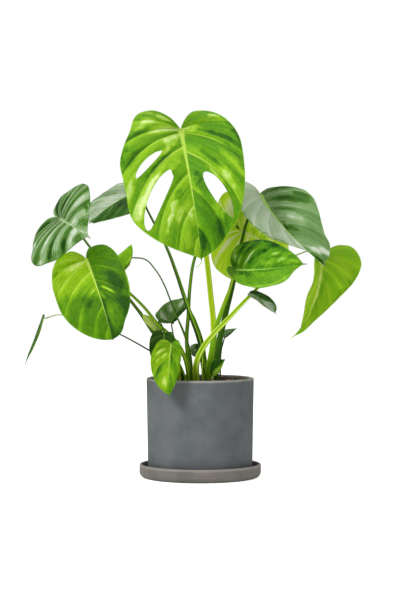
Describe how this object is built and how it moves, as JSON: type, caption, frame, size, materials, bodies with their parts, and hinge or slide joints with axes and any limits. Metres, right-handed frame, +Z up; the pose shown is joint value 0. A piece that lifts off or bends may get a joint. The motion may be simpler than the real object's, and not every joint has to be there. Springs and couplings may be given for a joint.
{
  "type": "potted plant",
  "caption": "Young swiss cheese plant with heart-shaped leaves, the largest split by long openings, in a plain round charcoal pot on a shallow saucer.",
  "frame": {"origin": "middle of the saucer's flat underside, on the pot's axis", "axes": "+Z up along the pot's axis, -Y towards the front that the large leaf faces, +X to the right seen from the front"},
  "size_m": [0.4742, 0.2486, 0.5132],
  "materials": {
    "saucer": "matt grey-brown stoneware with a paler rim",
    "pot": "matt charcoal stoneware with a slightly worn rim",
    "potting_mix": "dark loose mix with bark chips",
    "leaf_bright": "satin bright green leaf",
    "leaf_dark": "satin dark green leaf",
    "leaf_grey": "grey-green leaf with a soft sheen",
    "stalk": "smooth green stalk"
  },
  "bodies": {
    "root": {"blade_back_right": "leaf_grey", "blade_beak_right": "leaf_dark", "blade_behind_middle": "leaf_bright", "blade_behind_rim_leaf": "leaf_dark", "blade_between_stalks": "leaf_bright", "blade_dark_left": "leaf_dark", "blade_far_right": "leaf_bright", "blade_fenestrated": "leaf_bright", "blade_glossy_right": "leaf_bright", "blade_hanging_left": "leaf_bright", "blade_heart_left": "leaf_bright", "blade_low_middle": "leaf_dark", "blade_mix_back": "leaf_dark", "blade_mix_right": "leaf_dark", "blade_over_rim": "leaf_bright", "blade_small_left": "leaf_bright", "blade_upper_left": "leaf_grey", "blade_upper_right": "leaf_grey", "pot": "pot", "potting_mix": "potting_mix", "saucer": "saucer", "stalk_back_right": "stalk", "stalk_beak_right": "stalk", "stalk_behind_middle": "stalk", "stalk_behind_rim_leaf": "stalk", "stalk_between_stalks": "stalk", "stalk_dark_left": "stalk", "stalk_far_right": "stalk", "stalk_fenestrated": "stalk", "stalk_glossy_right": "stalk", "stalk_hanging_left": "stalk", "stalk_heart_left": "stalk", "stalk_low_middle": "stalk", "stalk_mix_back": "stalk", "stalk_mix_right": "stalk", "stalk_over_rim": "stalk", "stalk_small_left": "stalk", "stalk_upper_left": "stalk", "stalk_upper_right": "stalk"}
  },
  "joints": []
}
